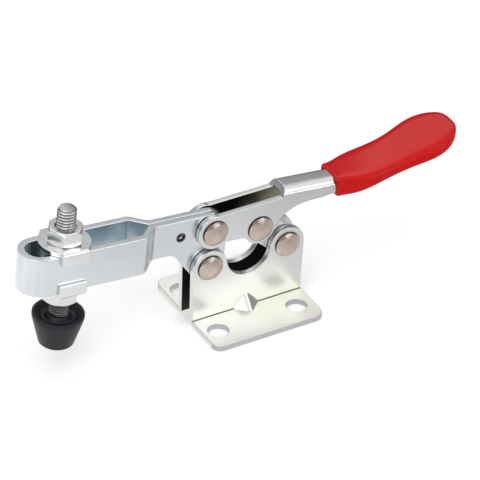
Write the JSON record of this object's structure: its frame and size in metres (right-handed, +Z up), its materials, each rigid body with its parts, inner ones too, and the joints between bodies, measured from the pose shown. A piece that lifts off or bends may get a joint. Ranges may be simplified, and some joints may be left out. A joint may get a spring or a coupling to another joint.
{
  "type": "toggle clamp",
  "caption": "Horizontal-handle toggle clamp with flanged base, looped holding arm, adjustable rubber-tipped spindle and dipped vinyl grip.",
  "frame": {"origin": "Centre of the four base holes, on the mounting face under the flanges.", "axes": "+X runs from the pressing spindle to the handle, +Y across the clamp, +Z up from the mounting face. Stored with the arm 5 degrees open."},
  "size_m": [0.1479, 0.0388, 0.0543],
  "materials": {
    "zinc_steel": "bright zinc plate on pressed steel",
    "rivet_steel": "domed rivet heads with a warm nickel tone",
    "red_vinyl": "dipped soft vinyl, glossy",
    "black_rubber": "moulded rubber, satin"
  },
  "bodies": {
    "base": {"base_near": "zinc_steel", "base_far": "zinc_steel", "rivet_front": "rivet_steel", "rivet_rear": "rivet_steel"},
    "arm": {"arm": "zinc_steel"},
    "handle": {"handle": "zinc_steel", "grip": "red_vinyl", "rivet_arm": "rivet_steel", "rivet_link": "rivet_steel"},
    "link": {"link_near": "zinc_steel", "link_far": "zinc_steel"},
    "carriage": {"washer_upper": "zinc_steel", "washer_lower": "zinc_steel", "nut_upper": "zinc_steel", "nut_lower": "zinc_steel"},
    "spindle": {"spindle": "zinc_steel", "tip": "black_rubber"}
  },
  "joints": [
    {"name": "arm_open", "type": "hinge", "parent": "base", "child": "arm", "pos_m": [-0.0125, 0, 0.02], "axis": [0, 1, 0], "range_deg": [-5, 80]},
    {"name": "handle_turn", "type": "hinge", "parent": "arm", "child": "handle", "pos_m": [-0.01099, 0, 0.03211], "axis": [0, 1, 0], "range_deg": [-140.76, 8.98]},
    {"name": "link_turn", "type": "hinge", "parent": "base", "child": "link", "pos_m": [0.0139, 0, 0.02], "axis": [0, 1, 0], "range_deg": [-2.11, 30.72]},
    {"name": "spindle_slide", "type": "slide", "parent": "arm", "child": "carriage", "axis": [-0.9962, 0, 0.0872], "range_m": [-0.005, 0.009]},
    {"name": "spindle_height", "type": "slide", "parent": "carriage", "child": "spindle", "axis": [0.0872, 0, 0.9962], "range_m": [-0.003, 0.002]}
  ],
  "couplings": [
    {"joint": "handle_turn", "follows": "arm_open", "ratio": -1.757},
    {"joint": "link_turn", "follows": "arm_open", "ratio": 0.3815}
  ]
}
